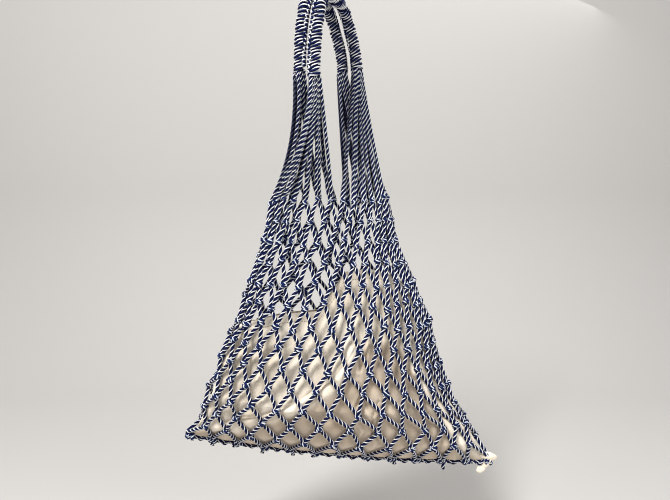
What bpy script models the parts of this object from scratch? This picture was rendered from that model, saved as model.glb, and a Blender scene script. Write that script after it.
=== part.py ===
"""A knotted rope mesh bag, hanging by its two wrapped handles, with a cotton pouch in it.

Metres, +Z up. The origin is under the middle of the front handle's bend, where
the bag hangs. +X runs along the bag's width and -Y is its front.
"""

import math

import bmesh
import bpy
import numpy as np

MM = 0.001

# Cord and net
CORD = 5.6 * MM
COLUMNS = 24
ROWS = 13
CELLS_CLOSED_UNDER = 4.0 * MM
WEB = 0.55 * CORD
RIDGE = 0.52 * CORD
HOLE_EDGE = 0.26 * CORD
HALF_MESH_HEIGHT = 0.62

# The net's level sections, from its top row of knots to the bottom seam, in
# millimetres: knot row, left end (x, y, z), right end (x, y, z), how far the
# front and the back stand out from the line between the ends, the sag of the
# row's middle, and which columns of knots lie at the left and the right end.
SECTION_COLUMNS = (
    "row", "xl", "yl", "zl", "xr", "yr", "zr", "front", "back", "sag", "left", "right",
)
SECTIONS = (
    (0, -78, -38, -238, 74, 28, -240, 17, 15, 0, -0.4, 12.7),
    (2, -89, -37, -288, 88, 26, -297, 22, 18, 0, -0.7, 13.2),
    (4, -107, -34, -339, 111, 22, -353, 32, 24, 0, -0.9, 13.5),
    (6, -126, -30, -389, 135, 18, -409, 45, 31, -1, -1.0, 13.8),
    (8, -150, -26, -439, 149, 14, -466, 55, 37, -3, -0.8, 13.6),
    (10, -169, -22, -490, 173, 10, -522, 58, 39, -5, -0.5, 13.0),
    (12, -191, -14, -540, 209, 4, -579, 37, 26, -8, -0.2, 12.3),
    (13, -206, -8, -565, 226, 0, -610, 7, 7, -10, 0, 12),
)
SECTION_POWER = 2.3
END_CROWDING = 0.62
RIGHT_CROWDING = 0.24

# Handles: the arch is a rounded gate shape in the y-z plane
HANDLE_WIDTH = 17 * MM
HANDLE_SIDES = 8
WRAP_PITCH = CORD
WRAP_DEPTH = 1.1 * MM
WRAP_TILT = 0.35
WRAP_LEVEL_ENDS = 4
ARCH_HALF_SPAN = 49 * MM
ARCH_TOP = 8.8 * MM
ARCH_RADIUS = 30 * MM
ARCH_LAG = 1.3
HANDLE_COLUMNS = ("name", "x_front", "z_front", "x_back", "z_back", "y_shift")
HANDLES = (
    ("handle_front", -21.5, -91, 32.5, -71, -4.5),
    ("handle_back", -40.0, -86, 12.5, -74, 5.0),
)
# Which handle end each quarter of the net's top hangs from, going round the
# bag from its left end: front left, front right, back right, back left.
FAN_ENDS = (
    ("handle_front", "front"),
    ("handle_front", "back"),
    ("handle_back", "back"),
    ("handle_back", "front"),
)
FAN_CORDS = 12
FAN_TOP_WIDTH = 12 * MM
FAN_TOP_THICK = 12.5 * MM
FAN_FOOT_THICK = 8.0 * MM
FAN_FOOT_DROP = 0.24
FAN_LEVELS = 5
FAN_EDGE = 0.16
FAN_DRAW_IN = 0.85
FAN_VALLEY = 0.62
SEAT_GAP = 0.3 * MM

# Seam cord
SEAM_KNOT = 4.4 * MM
SEAM_SIDES = 8
SEAM_STEPS = 3
SEAM_END = 0.01
TAIL_COLUMNS = ("share", "length", "lean")
TAIL_SIDES = 6
# A tail's radius as a share of the cord, at shares of its length
TAIL_SHAPE = ((0.0, 0.40), (0.6, 0.46), (1.0, 0.36))
TAILS = (
    (0.09, 9, -0.3),
    (0.145, 7, 0.2),
    (0.22, 10, -0.1),
    (0.30, 12, 0.3),
    (0.40, 8, -0.2),
    (0.66, 9, 0.25),
    (0.82, 11, -0.15),
)

# Pouch: its mouth's line along its width, in millimetres
POUCH_CLEAR = 8.1 * MM
POUCH_END_CLEAR = 14.0 * MM
POUCH_EDGE = 1.6 * MM
POUCH_LEVELS = 13
POUCH_SIDE_POINTS = 15
POUCH_LOWEST_ROW = ROWS - 0.35
POUCH_HIGHEST_ROW = 3.0
POUCH_SEARCH_STEPS = 14
ROW_PITCH = 26.0
FOLD_LEAN = 0.12
FOLD_HEIGHT = 0.32
MOUTH_COLUMNS = ("x", "z")
MOUTH = (
    (-130, -402),
    (-64, -388),
    (-19, -387),
    (5, -354),
    (15, -337),
    (46, -335),
    (66, -338),
    (90, -350),
    (115, -372),
    (127, -402),
    (144, -442),
)
# The pouch's main folds: share across and up, width as a share, depth in millimetres
FOLD_COLUMNS = ("across", "up", "width", "depth")
POUCH_FOLDS = (
    (0.52, 0.55, 0.035, 4.0),
    (0.30, 0.75, 0.05, 3.0),
    (0.70, 0.45, 0.04, 3.5),
    (0.17, 0.45, 0.05, 2.5),
    (0.84, 0.55, 0.045, 3.0),
)


def table(columns, rows):
    """Each named column of a table as an array of numbers."""
    return {name: np.array([row[i] for row in rows]) for i, name in enumerate(columns)}


def clear_scene():
    for obj in list(bpy.data.objects):
        bpy.data.objects.remove(obj, do_unlink=True)


def material(name, colour, roughness):
    made = bpy.data.materials.new(name)
    made.use_nodes = True
    shader = made.node_tree.nodes["Principled BSDF"]
    shader.inputs["Base Color"].default_value = (*colour, 1.0)
    shader.inputs["Roughness"].default_value = roughness
    shader.inputs["Metallic"].default_value = 0.0
    made.diffuse_color = (*colour, 1.0)
    return made


def new_object(name, mesh, collection, finish=None):
    made = bpy.data.objects.new(name, mesh)
    collection.objects.link(made)
    if finish is not None:
        mesh.materials.append(finish)
    return made


# The shape in which the net hangs
def section_values(row):
    """The section table read at any height, smoothly between its rows."""
    found = table(SECTION_COLUMNS, SECTIONS)
    rows = found["row"].astype(float)
    return {name: np.interp(row, rows, found[name]) for name in SECTION_COLUMNS[1:]}


def share_across(side_share):
    """Where a column lies across the width: close together at the ends, most at the right."""
    rounded = (1 - np.cos(np.pi * side_share)) / 2
    even = side_share * (1 - END_CROWDING) + rounded * END_CROWDING
    return even + RIGHT_CROWDING * even * (1 - even)


def level_height(at, across):
    """The height of a level of the net, in millimetres, at a share of its width."""
    sag = at["sag"] * 4 * across * (1 - across)
    return at["zl"] + (at["zr"] - at["zl"]) * across + sag


def net_point(column, row):
    """A point of the net's middle surface, for a column counted round from the left end."""
    at = section_values(row)
    turn = (column - at["left"]) % COLUMNS
    front_columns = at["right"] - at["left"]
    front = turn <= front_columns
    side_share = turn / front_columns if front else (COLUMNS - turn) / (COLUMNS - front_columns)
    flat = min(1.0, max(0.0, row - (ROWS - 2)) / 2)
    across = share_across(side_share) * (1 - flat) + side_share * flat
    bulge = (1 - abs(2 * across - 1) ** SECTION_POWER) ** (1 / SECTION_POWER)
    depth = -at["front"] if front else at["back"]
    x = at["xl"] + (at["xr"] - at["xl"]) * across
    y = at["yl"] + (at["yr"] - at["yl"]) * across + depth * bulge
    return np.array((x, y, level_height(at, across))) * MM


def knot_column(row, k):
    return k + 0.5 * ((row + 1) % 2)


def hole_corners(corners):
    """The corners of the gap inside a mesh, one cord's half width in from its sides."""
    points = np.array(corners)
    middle = points.mean(axis=0)
    across = np.linalg.norm(points[1] - points[-1]) / 2
    if len(points) == 4:
        up = np.linalg.norm(points[0] - points[2]) / 2
    else:
        up = np.linalg.norm(points[0] - (points[1] + points[2]) / 2) * HALF_MESH_HEIGHT
    shrink = 1 - WEB * math.hypot(across, up) / (across * up)
    is_open = shrink > 0 and 2 * across * shrink > CELLS_CLOSED_UNDER
    return middle + (points - middle) * shrink if is_open else None


def net_sheet():
    """The net's middle surface: rings of cord round open meshes, and closed meshes at the top."""
    sheet = bmesh.new()
    thick = sheet.verts.layers.deform.verify()

    def vertex(point, half_thickness):
        made = sheet.verts.new(point)
        made[thick][0] = half_thickness / RIDGE
        return made

    knots = [
        [vertex(net_point(knot_column(row, k), row), RIDGE) for k in range(COLUMNS)]
        for row in range(ROWS + 1)
    ]

    def mesh_cell(corners, closed=False):
        inner = None if closed else hole_corners([np.array(v.co) for v in corners])
        count = len(corners)
        if inner is None:
            middle = vertex(sum((np.array(v.co) for v in corners)) / count, HOLE_EDGE)
            for i in range(count):
                sheet.faces.new((corners[i], corners[(i + 1) % count], middle))
            return
        rim = [vertex(point, HOLE_EDGE) for point in inner]
        for i in range(count):
            after = (i + 1) % count
            sheet.faces.new((corners[i], corners[after], rim[after], rim[i]))

    for row in range(ROWS):
        step = row % 2
        for k in range(COLUMNS):
            here, beside = knots[row][k], knots[row][(k + 1) % COLUMNS]
            below = knots[row + 1][(k + 1 - step) % COLUMNS]
            if row == 0:
                mesh_cell((here, below, beside), closed=True)
            if row + 2 <= ROWS:
                left = knots[row + 1][(k - step) % COLUMNS]
                foot = knots[row + 2][k]
                mesh_cell((here, left, foot, below), closed=(row == 0))
            if row == ROWS - 1:
                left = knots[ROWS][(k - step) % COLUMNS]
                mesh_cell((here, left, below))
    bottom = knots[ROWS]
    half = COLUMNS // 2
    sheet.faces.new((bottom[0], bottom[COLUMNS - 1], bottom[1]))
    for k in range(1, half - 1):
        sheet.faces.new((bottom[k], bottom[COLUMNS - k], bottom[COLUMNS - k - 1], bottom[k + 1]))
    sheet.faces.new((bottom[half - 1], bottom[half + 1], bottom[half]))
    bmesh.ops.recalc_face_normals(sheet, faces=sheet.faces)
    mesh = bpy.data.meshes.new("net")
    sheet.to_mesh(mesh)
    sheet.free()
    return mesh


def loft(name, rings):
    """A closed solid through rings of the same number of points, with flat ends."""
    made = bmesh.new()
    levels = [[made.verts.new(point) for point in ring] for ring in rings]
    count = len(levels[0])
    for low, high in zip(levels, levels[1:]):
        for i in range(count):
            after = (i + 1) % count
            made.faces.new((low[i], low[after], high[after], high[i]))
    made.faces.new(reversed(levels[0]))
    made.faces.new(levels[-1])
    bmesh.ops.recalc_face_normals(made, faces=made.faces)
    mesh = bpy.data.meshes.new(name)
    made.to_mesh(mesh)
    made.free()
    return mesh


def unit(vector):
    return vector / np.linalg.norm(vector)


# Handles
def handle_row(name):
    row = next(row for row in HANDLES if row[0] == name)
    return dict(zip(HANDLE_COLUMNS, row))


def arch_path(name, spacing):
    """Points up the front, over and down the back, about a spacing apart."""
    row = handle_row(name)
    bend_z = ARCH_TOP - ARCH_RADIUS
    bend_y = ARCH_HALF_SPAN - ARCH_RADIUS
    lengths = (
        bend_z - row["z_front"] * MM,
        ARCH_RADIUS * math.pi / 2,
        2 * bend_y,
        ARCH_RADIUS * math.pi / 2,
        bend_z - row["z_back"] * MM,
    )
    marks = np.concatenate(([0], np.cumsum(lengths)))
    total = marks[-1]
    points = []
    for along in np.linspace(0, total, round(total / spacing) + 1):
        leg = min(4, int(np.searchsorted(marks, along, side="right")) - 1)
        rest = along - marks[leg]
        angle = rest / ARCH_RADIUS
        if leg == 0:
            y, z = -ARCH_HALF_SPAN, row["z_front"] * MM + rest
        elif leg == 1:
            y = -bend_y - ARCH_RADIUS * math.cos(angle)
            z = bend_z + ARCH_RADIUS * math.sin(angle)
        elif leg == 2:
            y, z = -bend_y + rest, ARCH_TOP
        elif leg == 3:
            y = bend_y + ARCH_RADIUS * math.sin(angle)
            z = bend_z + ARCH_RADIUS * math.cos(angle)
        else:
            y, z = ARCH_HALF_SPAN, bend_z - rest
        share = (along / total) ** ARCH_LAG
        ease = share * share * (3 - 2 * share)
        x = (row["x_front"] + (row["x_back"] - row["x_front"]) * ease) * MM
        points.append((x, y + row["y_shift"] * MM, z))
    return np.array(points)


def handle_mesh(name):
    """A bundle of cord wrapped from end to end: a ridge for each turn of the wrap."""
    path = arch_path(name, WRAP_PITCH / 2)
    tangents = np.gradient(path, axis=0)
    rings = []
    for i, (centre, tangent) in enumerate(zip(path, tangents)):
        tangent = unit(tangent)
        side = unit(np.array((1.0, 0.0, 0.0)) - tangent * tangent[0])
        other = np.cross(tangent, side)
        ends = min(i, len(path) - 1 - i)
        tilt = WRAP_TILT * min(1.0, ends / WRAP_LEVEL_ENDS)
        radius = HANDLE_WIDTH / 2 - (WRAP_DEPTH if i % 2 else 0.0)
        ring = []
        for k in range(HANDLE_SIDES):
            angle = 2 * math.pi * k / HANDLE_SIDES
            out = side * math.cos(angle) + other * math.sin(angle)
            ring.append(centre + radius * (out + tangent * tilt * math.cos(angle)))
        rings.append(ring)
    return loft(name, rings)


# Fans of straight cords between the net and the handles
def fan_mesh(quarter):
    """Twelve cords side by side that gather from a quarter of the net's top into a handle."""
    name, end = FAN_ENDS[quarter]
    row = handle_row(name)
    top = np.array((row["x_" + end] * MM, 0.0, row["z_" + end] * MM - SEAT_GAP))
    top[1] = -ARCH_HALF_SPAN if end == "front" else ARCH_HALF_SPAN
    top[1] += row["y_shift"] * MM
    first = quarter * COLUMNS / 4
    last = first + COLUMNS / 4
    cords = np.linspace(first + FAN_EDGE, last - FAN_EDGE, 2 * FAN_CORDS - 1)
    foot = np.array([net_point(c, FAN_FOOT_DROP) for c in cords])
    run = unit((foot[-1] - foot[0]) * (1, 1, 0))
    spread = np.linspace(-0.5, 0.5, len(cords))[:, None]
    head = top + spread * FAN_TOP_WIDTH * run
    out = np.cross(run, (0.0, 0.0, 1.0))
    if (out @ (foot.mean(axis=0) - inside_point())) < 0:
        out = -out
    rings = []
    for level in np.linspace(0, 1, FAN_LEVELS):
        ease = level ** FAN_DRAW_IN
        middle = foot + (head - foot) * ease
        middle[:, 2] = foot[:, 2] + (head[:, 2] - foot[:, 2]) * level
        half = (FAN_FOOT_THICK + (FAN_TOP_THICK - FAN_FOOT_THICK) * level) / 2
        ridge = np.where(np.arange(len(cords)) % 2 == 0, half, half * FAN_VALLEY)[:, None]
        outer = middle + out * ridge
        inner = middle - out * ridge
        rings.append(np.concatenate((outer, inner[::-1])))
    return loft("fan", rings)


def inside_point():
    return (net_point(0, 1) + net_point(COLUMNS / 2, 1)) / 2


def joined(base, others):
    """Fuses the other objects into the base, and drops what the union closes off inside.

    The exact solver loses meshes where crowded cords press into each other, so
    this uses the manifold one, and both shapes are closed as it needs.
    """
    for other in others:
        union = base.modifiers.new("join " + other.name, "BOOLEAN")
        union.operation = "UNION"
        union.solver = "MANIFOLD"
        union.object = other
    graph = bpy.context.evaluated_depsgraph_get()
    whole = bpy.data.meshes.new_from_object(base.evaluated_get(graph))
    base.modifiers.clear()
    base.data = whole
    keep_largest_shell(whole)


def keep_largest_shell(mesh):
    """Removes every loose shell but the largest, such as the lining of a closed-off pocket."""
    found = bmesh.new()
    found.from_mesh(mesh)
    waiting = set(found.verts)
    shells = []
    while waiting:
        shell, edge = set(), [waiting.pop()]
        while edge:
            vert = edge.pop()
            shell.add(vert)
            beside = {link.other_vert(vert) for link in vert.link_edges} & waiting
            waiting -= beside
            edge.extend(beside)
        shells.append(shell)
    largest = max(shells, key=len)
    spare = [vert for vert in found.verts if vert not in largest]
    bmesh.ops.delete(found, geom=spare, context="VERTS")
    found.to_mesh(mesh)
    found.free()


def build_net(parts, helpers, finish):
    net = new_object("net", net_sheet(), parts, finish)
    net.vertex_groups.new(name="thickness")
    solid = net.modifiers.new("cord thickness", "SOLIDIFY")
    solid.thickness = 2 * RIDGE
    solid.offset = 0.0
    solid.vertex_group = "thickness"
    fans = []
    for quarter in range(4):
        fan = new_object("fan_%d" % quarter, fan_mesh(quarter), helpers)
        fan.hide_render = True
        fan.display_type = "WIRE"
        fans.append(fan)
    joined(net, fans)
    return net


# Seam cord
def seam_point(share):
    """A point on the cord that laces the bottom, under the fold of the net."""
    point = net_point(share * COLUMNS / 2, ROWS)
    behind = net_point(COLUMNS - share * COLUMNS / 2 - 1e-6, ROWS)
    middle = (point + behind) / 2
    middle[2] -= RIDGE + SEAT_GAP + SEAM_KNOT * math.cos(math.pi / SEAM_SIDES)
    return middle


def ring_round(centre, tangent, radius, sides):
    tangent = unit(tangent)
    side = unit(np.cross(tangent, (0.0, 1.0, 0.0)) if abs(tangent[1]) < 0.9 else (1.0, 0.0, 0.0))
    other = np.cross(tangent, side)
    angles = 2 * np.pi * (np.arange(sides) + 0.5) / sides
    return centre + radius * (np.cos(angles)[:, None] * side + np.sin(angles)[:, None] * other)


def build_seam_cord(parts, helpers, finish):
    steps = SEAM_STEPS * COLUMNS // 2
    shares = np.linspace(SEAM_END, 1 - SEAM_END, steps + 1)
    path = np.array([seam_point(share) for share in shares])
    tangents = np.gradient(path, axis=0)
    rings = [
        ring_round(p, t, CORD / 2 if i % SEAM_STEPS else SEAM_KNOT, SEAM_SIDES)
        for i, (p, t) in enumerate(zip(path, tangents))
    ]
    seam = new_object("seam_cord", loft("seam_cord", rings), parts, finish)
    tails = []
    for i, row in enumerate(TAILS):
        tail = dict(zip(TAIL_COLUMNS, row))
        root = seam_point(tail["share"])
        down = unit(np.array((tail["lean"], 0.0, -1.0)))
        length = tail["length"] * MM
        rings = [
            ring_round(root + down * (CORD / 4 + length * at), down, share * CORD, TAIL_SIDES)
            for at, share in TAIL_SHAPE
        ]
        made = new_object("tail_%d" % i, loft("tail", rings), helpers)
        made.hide_render = True
        made.display_type = "WIRE"
        tails.append(made)
    joined(seam, tails)
    return seam


# Pouch
def pouch_dent(across, up):
    """How far the cloth dips at its main folds."""
    dip = 0.0
    for row in POUCH_FOLDS:
        fold = dict(zip(FOLD_COLUMNS, row))
        rise = up - fold["up"]
        run = (across - fold["across"] - FOLD_LEAN * rise) / fold["width"]
        dip += fold["depth"] * MM * math.exp(-run * run - (rise / FOLD_HEIGHT) ** 2)
    return dip


def pouch_place(share, up):
    """Where the pouch stands at a share of its width and height: the net's level there, x and z."""
    mouth = table(MOUTH_COLUMNS, MOUTH)
    low = section_values(POUCH_LOWEST_ROW)
    row = POUCH_LOWEST_ROW
    for _ in range(POUCH_SEARCH_STEPS):
        at = section_values(row)
        left = at["xl"] + POUCH_END_CLEAR / MM
        right = at["xr"] - POUCH_END_CLEAR / MM
        x = left + (right - left) * share
        across = (x - at["xl"]) / (at["xr"] - at["xl"])
        z_low = level_height(low, across)
        z = z_low + (np.interp(x, mouth["x"], mouth["z"]) - z_low) * up
        row += (level_height(at, across) - z) / ROW_PITCH
        row = min(POUCH_LOWEST_ROW, max(POUCH_HIGHEST_ROW, row))
    return at, across, x, z


def pouch_ring(up):
    """One loop round the pouch, inside the net and clear of its cords."""
    front, back = [], []
    closing = math.sqrt(max(0.0, 1 - up ** 3))
    edge = POUCH_EDGE / MM
    for share in np.linspace(0, 1, POUCH_SIDE_POINTS):
        at, across, x, z = pouch_place(share, up)
        bulge = (1 - abs(2 * across - 1) ** SECTION_POWER) ** (1 / SECTION_POWER)
        middle = at["yl"] + (at["yr"] - at["yl"]) * across
        dent = pouch_dent(share, up) / MM
        out_front = (at["front"] * bulge - POUCH_CLEAR / MM - dent) * closing
        out_back = (at["back"] * bulge - POUCH_CLEAR / MM) * closing
        front.append((x, middle - max(edge, out_front), z))
        back.append((x, middle + max(edge, out_back), z))
    return np.array(front + back[::-1]) * MM


def build_pouch(parts, finish):
    levels = [pouch_ring(up) for up in np.linspace(0, 1, POUCH_LEVELS)]
    return new_object("pouch", loft("pouch", levels), parts, finish)


def main():
    clear_scene()
    parts = bpy.data.collections.new("mesh bag")
    helpers = bpy.data.collections.new("helpers")
    bpy.context.scene.collection.children.link(parts)
    bpy.context.scene.collection.children.link(helpers)
    net_rope = material("navy and white rope", (0.16, 0.20, 0.36), 0.8)
    wrap_rope = material("navy and white wrap", (0.12, 0.15, 0.30), 0.8)
    lacing = material("navy and white lacing", (0.20, 0.24, 0.40), 0.8)
    cotton = material("cream cotton", (0.84, 0.77, 0.67), 0.9)
    build_net(parts, helpers, net_rope)
    for row in HANDLES:
        new_object(row[0], handle_mesh(row[0]), parts, wrap_rope)
    build_seam_cord(parts, helpers, lacing)
    build_pouch(parts, cotton)


main()
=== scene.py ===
import math

import bmesh
import bpy
import numpy as np
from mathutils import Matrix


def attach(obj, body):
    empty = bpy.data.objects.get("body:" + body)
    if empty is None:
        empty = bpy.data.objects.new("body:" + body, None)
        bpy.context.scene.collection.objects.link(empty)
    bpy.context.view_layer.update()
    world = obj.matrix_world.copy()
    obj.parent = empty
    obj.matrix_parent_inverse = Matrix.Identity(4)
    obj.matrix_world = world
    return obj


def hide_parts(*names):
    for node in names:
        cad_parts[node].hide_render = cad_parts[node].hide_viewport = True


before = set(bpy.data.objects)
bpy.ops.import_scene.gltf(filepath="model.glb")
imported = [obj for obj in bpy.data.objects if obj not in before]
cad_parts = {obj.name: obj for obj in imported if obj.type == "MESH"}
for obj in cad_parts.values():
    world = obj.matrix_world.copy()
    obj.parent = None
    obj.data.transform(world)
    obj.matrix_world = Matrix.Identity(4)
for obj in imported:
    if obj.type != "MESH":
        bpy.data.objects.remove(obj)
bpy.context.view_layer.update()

mm = 0.001
rng = np.random.default_rng(11)
print("frame loaded")


# the rope, and the shape in which the net hangs
rope = {
    "width": 5.6 * mm,  # across one cord
    "lay": 16.0 * mm,  # length of one full turn of its strands
    "strands": 4,  # navy and white in turn
    "stepsPerLay": 10,
    "crest": 0.5,  # strand tops, as a share of the width
    "valley": 0.27,  # deep grooves, as between four round strands
    "crestSpread": 0.19,  # half angle of a strand's rounded top, as a share of a strand
    "plainSides": 5,  # for the small wound knots
    "curveSteps": 12,  # between two points of a path
    "shadeFrom": 0.56,  # where on its sides a packed cord starts to get painted shade, as a cosine
    "shadeOver": 0.46,
}
netShape = {
    "columns": 24,
    "rows": 13,
    "power": 2.3,  # of the superellipse that the net follows round the bag
    "endCrowding": 0.62,  # how far the columns draw together at both ends
    "rightCrowding": 0.24,  # and how much more so at the right
    "farColumn": 12.3,  # the one across the bag from the first
    # a row's left and right ends, its reach to the front and back and its sag in
    # millimetres, and the columns that stand at its two ends
    "names": ("row", "xl", "yl", "zl", "xr", "yr", "zr", "front", "back", "sag", "left", "right"),
    "sections": (
        (0, -78, -38, -238, 74, 28, -240, 17, 15, 0, -0.4, 12.7),
        (2, -89, -37, -288, 88, 26, -297, 22, 18, 0, -0.7, 13.2),
        (4, -107, -34, -339, 111, 22, -353, 32, 24, 0, -0.9, 13.5),
        (6, -126, -30, -389, 135, 18, -409, 45, 31, -1, -1.0, 13.8),
        (8, -150, -26, -439, 149, 14, -466, 55, 37, -3, -0.8, 13.6),
        (10, -169, -22, -490, 173, 10, -522, 58, 39, -5, -0.5, 13.0),
        (12, -191, -14, -540, 209, 4, -579, 37, 26, -8, -0.2, 12.3),
        (13, -206, -8, -565, 226, 0, -610, 7, 7, -10, 0, 12),
    ),
    "uneven": 0.9 * mm,  # how far a knot strays from the even net
    "strayLimit": 1.8,  # times that at most
    "calmRows": 3,  # at the top, where it strays less to the sides
    "calmLeast": 0.2,
    "upRows": 7,  # rows above this stray more up and down
    "upStray": (3.2, 1.4),
    "sideSlack": 0.5,  # shares of a strand's slack: how far it varies to the sides
    "outSlack": (0.3, 0.4),  # and how far out it bows, on average and as it varies
    "lastKnot": 0.4,  # a cord's end in the seam, as a share of a knot's half height
    "slack": 0.8 * mm,  # how far a strand bows between its knots
    "knotHalf": 3.4 * mm,  # half height of a knot
    "pairOffset": 0.27,  # the two cords in a knot, off its middle, as a share of the width
}


def sectionAt(row):
    # each named column of the section table, read at any height
    table = np.array(netShape["sections"], float)
    names = netShape["names"]
    return {name: np.interp(row, table[:, 0], table[:, i]) for i, name in enumerate(names) if i}


def acrossShare(side):
    # columns stand closer at both ends and most at the right end
    rounded = (1 - np.cos(np.pi * side)) / 2
    even = side * (1 - netShape["endCrowding"]) + rounded * netShape["endCrowding"]
    return even + netShape["rightCrowding"] * even * (1 - even)


def netPoint(column, row):
    # a flattened round tube: level ends from the table, a superellipse between them
    column, row = np.broadcast_arrays(np.asarray(column, float), np.asarray(row, float))
    at = sectionAt(row)
    turn = (column - at["left"]) % netShape["columns"]
    frontColumns = at["right"] - at["left"]
    front = turn <= frontColumns
    backShare = (netShape["columns"] - turn) / (netShape["columns"] - frontColumns)
    side = np.where(front, turn / frontColumns, backShare)
    flat = np.clip((row - (netShape["rows"] - 2)) / 2, 0, 1)
    across = acrossShare(side) * (1 - flat) + side * flat
    power = netShape["power"]
    bulge = np.clip(1 - np.abs(2 * across - 1) ** power, 0, 1) ** (1 / power)
    depth = np.where(front, -at["front"], at["back"])
    x = at["xl"] + (at["xr"] - at["xl"]) * across
    y = at["yl"] + (at["yr"] - at["yl"]) * across + depth * bulge
    z = at["zl"] + (at["zr"] - at["zl"]) * across + at["sag"] * 4 * across * (1 - across)
    return np.stack((x, y, z), axis=-1) * mm


def unit(vectors):
    return vectors / np.maximum(np.linalg.norm(vectors, axis=-1, keepdims=True), 1e-12)


def netFrame(column, row):
    # directions round the bag, up the bag and out of it, from small steps on the surface
    step = 0.2
    around = unit(netPoint(column + step, row) - netPoint(column - step, row))
    low = np.minimum(row + step, netShape["rows"])
    up = unit(netPoint(column, np.maximum(row - step, 0)) - netPoint(column, low))
    out = unit(np.cross(around, up))
    far = np.full_like(column, netShape["farColumn"])
    middle = netPoint(np.zeros_like(column), row) / 2 + netPoint(far, row) / 2
    away = netPoint(column, row) - middle
    flip = np.sign(np.sum(out * away * (1, 1, 0), axis=-1, keepdims=True))
    return around, up, out * np.where(flip == 0, 1, flip)


# meshes from arrays
def smoothPath(points, spacing):
    # a Catmull-Rom curve through the points, then read at an even spacing
    points = np.asarray(points, float)
    start, end = points[:-1], points[1:]
    before = np.vstack((2 * points[0] - points[1], points[:-2]))
    after = np.vstack((points[2:], 2 * points[-1] - points[-2]))
    t = np.linspace(0, 1, rope["curveSteps"], endpoint=False)[None, :, None]
    a, b, c, d = (part[:, None, :] for part in (before, start, end, after))
    curve = 0.5 * (
        2 * b + (c - a) * t + (2 * a - 5 * b + 4 * c - d) * t**2 + (3 * b - a - 3 * c + d) * t**3
    )
    curve = np.vstack((curve.reshape(-1, 3), points[-1:]))
    steps = np.linalg.norm(np.diff(curve, axis=0), axis=1)
    along = np.concatenate(([0], np.cumsum(steps)))
    even = np.linspace(0, along[-1], max(3, round(along[-1] / spacing) + 1))
    return np.stack([np.interp(even, along, curve[:, i]) for i in range(3)], axis=1)


def laidProfile():
    # three points a strand: its groove and the two shoulders of its rounded top
    strands = rope["strands"]
    spread = rope["crestSpread"]
    shares = np.array((0.0, 0.5 - spread, 0.5 + spread)) / strands
    angles = (np.arange(strands)[:, None] / strands + shares[None, :]).ravel()
    reach = np.tile((rope["valley"], rope["crest"], rope["crest"]), strands)
    return {"angles": angles, "reach": reach, "turns": 1.0}


def plainProfile(sides):
    angles = np.arange(sides) / sides
    return {"angles": angles, "reach": np.full(sides, 0.5), "turns": 0.0}


def sweep(path, outward, width, profile, closed=False, start=0.0, tight=1.0, packed=None):
    # rings of the profile carried along the path, turned once each lay like the strands,
    # or more often where the cord is laid tighter; a packed cord gets painted shade on the sides
    # turned to its neighbours
    count = len(path)
    if closed:
        tangent = unit(np.roll(path, -1, axis=0) - np.roll(path, 1, axis=0))
        steps = np.linalg.norm(np.roll(path, -1, axis=0) - path, axis=1)
    else:
        tangent = unit(np.gradient(path, axis=0))
        steps = np.linalg.norm(np.diff(path, axis=0), axis=1)
    along = np.concatenate(([0], np.cumsum(steps))) + start
    outward = np.broadcast_to(outward, path.shape)
    side = unit(outward - tangent * np.sum(outward * tangent, axis=1, keepdims=True))
    other = np.cross(tangent, side)
    steps = np.append(steps, steps[-1])[: len(along)] * tight
    laps = (start + np.concatenate(([0], np.cumsum(steps[:-1])))) / rope["lay"]
    turn = profile["turns"] * laps
    angle = 2 * np.pi * (profile["angles"][None, :] + turn[:count, None])
    reach = np.broadcast_to(width, (count,))[:, None] * profile["reach"][None, :]
    ring = path[:, None, :] + reach[..., None] * (
        np.cos(angle)[..., None] * side[:, None, :] + np.sin(angle)[..., None] * other[:, None, :]
    )
    facing, amount = packed if packed else (1, np.zeros(count))
    shade = (rope["shadeFrom"] - facing * np.cos(angle)) / rope["shadeOver"]
    shade = np.clip(shade, 0, 1) * amount[:, None]
    sides = len(profile["angles"])
    shares = np.append(profile["angles"], profile["angles"][0] + 1)
    u = shares[None, :] + (turn - laps)[:, None]
    v = np.broadcast_to(along[:, None], u.shape)
    rows = np.arange(count if closed else count - 1)
    low = (rows % count)[:, None] * sides
    high = ((rows + 1) % count)[:, None] * sides
    k, after = np.arange(sides)[None, :], (np.arange(sides)[None, :] + 1) % sides
    quads = np.stack((low + k, low + after, high + after, high + k), axis=-1).reshape(-1, 4)
    uv = np.stack((u, v), axis=-1)
    quadUv = np.stack((uv[rows, :-1], uv[rows, 1:], uv[rows + 1, 1:], uv[rows + 1, :-1]), axis=2)
    corners, cornerUv = [quads.ravel()], [quadUv.reshape(-1, 2)]
    sizes = [np.full(len(quads), 4)]
    if not closed:
        corners += [np.arange(sides)[::-1], (count - 1) * sides + np.arange(sides)]
        cornerUv += [uv[0, :-1][::-1], uv[-1, :-1]]
        sizes += [np.array((sides, sides))]
    return {
        "points": ring.reshape(-1, 3),
        "shade": shade.ravel(),
        "corners": np.concatenate(corners),
        "sizes": np.concatenate(sizes),
        "uv": np.concatenate(cornerUv),
    }


def gridSurface(points, uv, closedAcross):
    # a grid of points, rows by columns, as quads, with its own uv for each corner
    rows, columns = points.shape[:2]
    i = np.arange(rows - 1)[:, None]
    j = np.arange(columns if closedAcross else columns - 1)[None, :]
    after = (j + 1) % columns
    quads = np.stack(
        (i * columns + j, i * columns + after, (i + 1) * columns + after, (i + 1) * columns + j),
        axis=-1,
    ).reshape(-1, 4)
    cornerUv = np.stack((uv[:-1, :-1], uv[:-1, 1:], uv[1:, 1:], uv[1:, :-1]), axis=2)
    return {
        "points": points.reshape(-1, 3),
        "shade": np.zeros(rows * columns),
        "corners": quads.ravel(),
        "sizes": np.full(len(quads), 4),
        "uv": cornerUv.reshape(-1, 2),
    }


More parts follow.
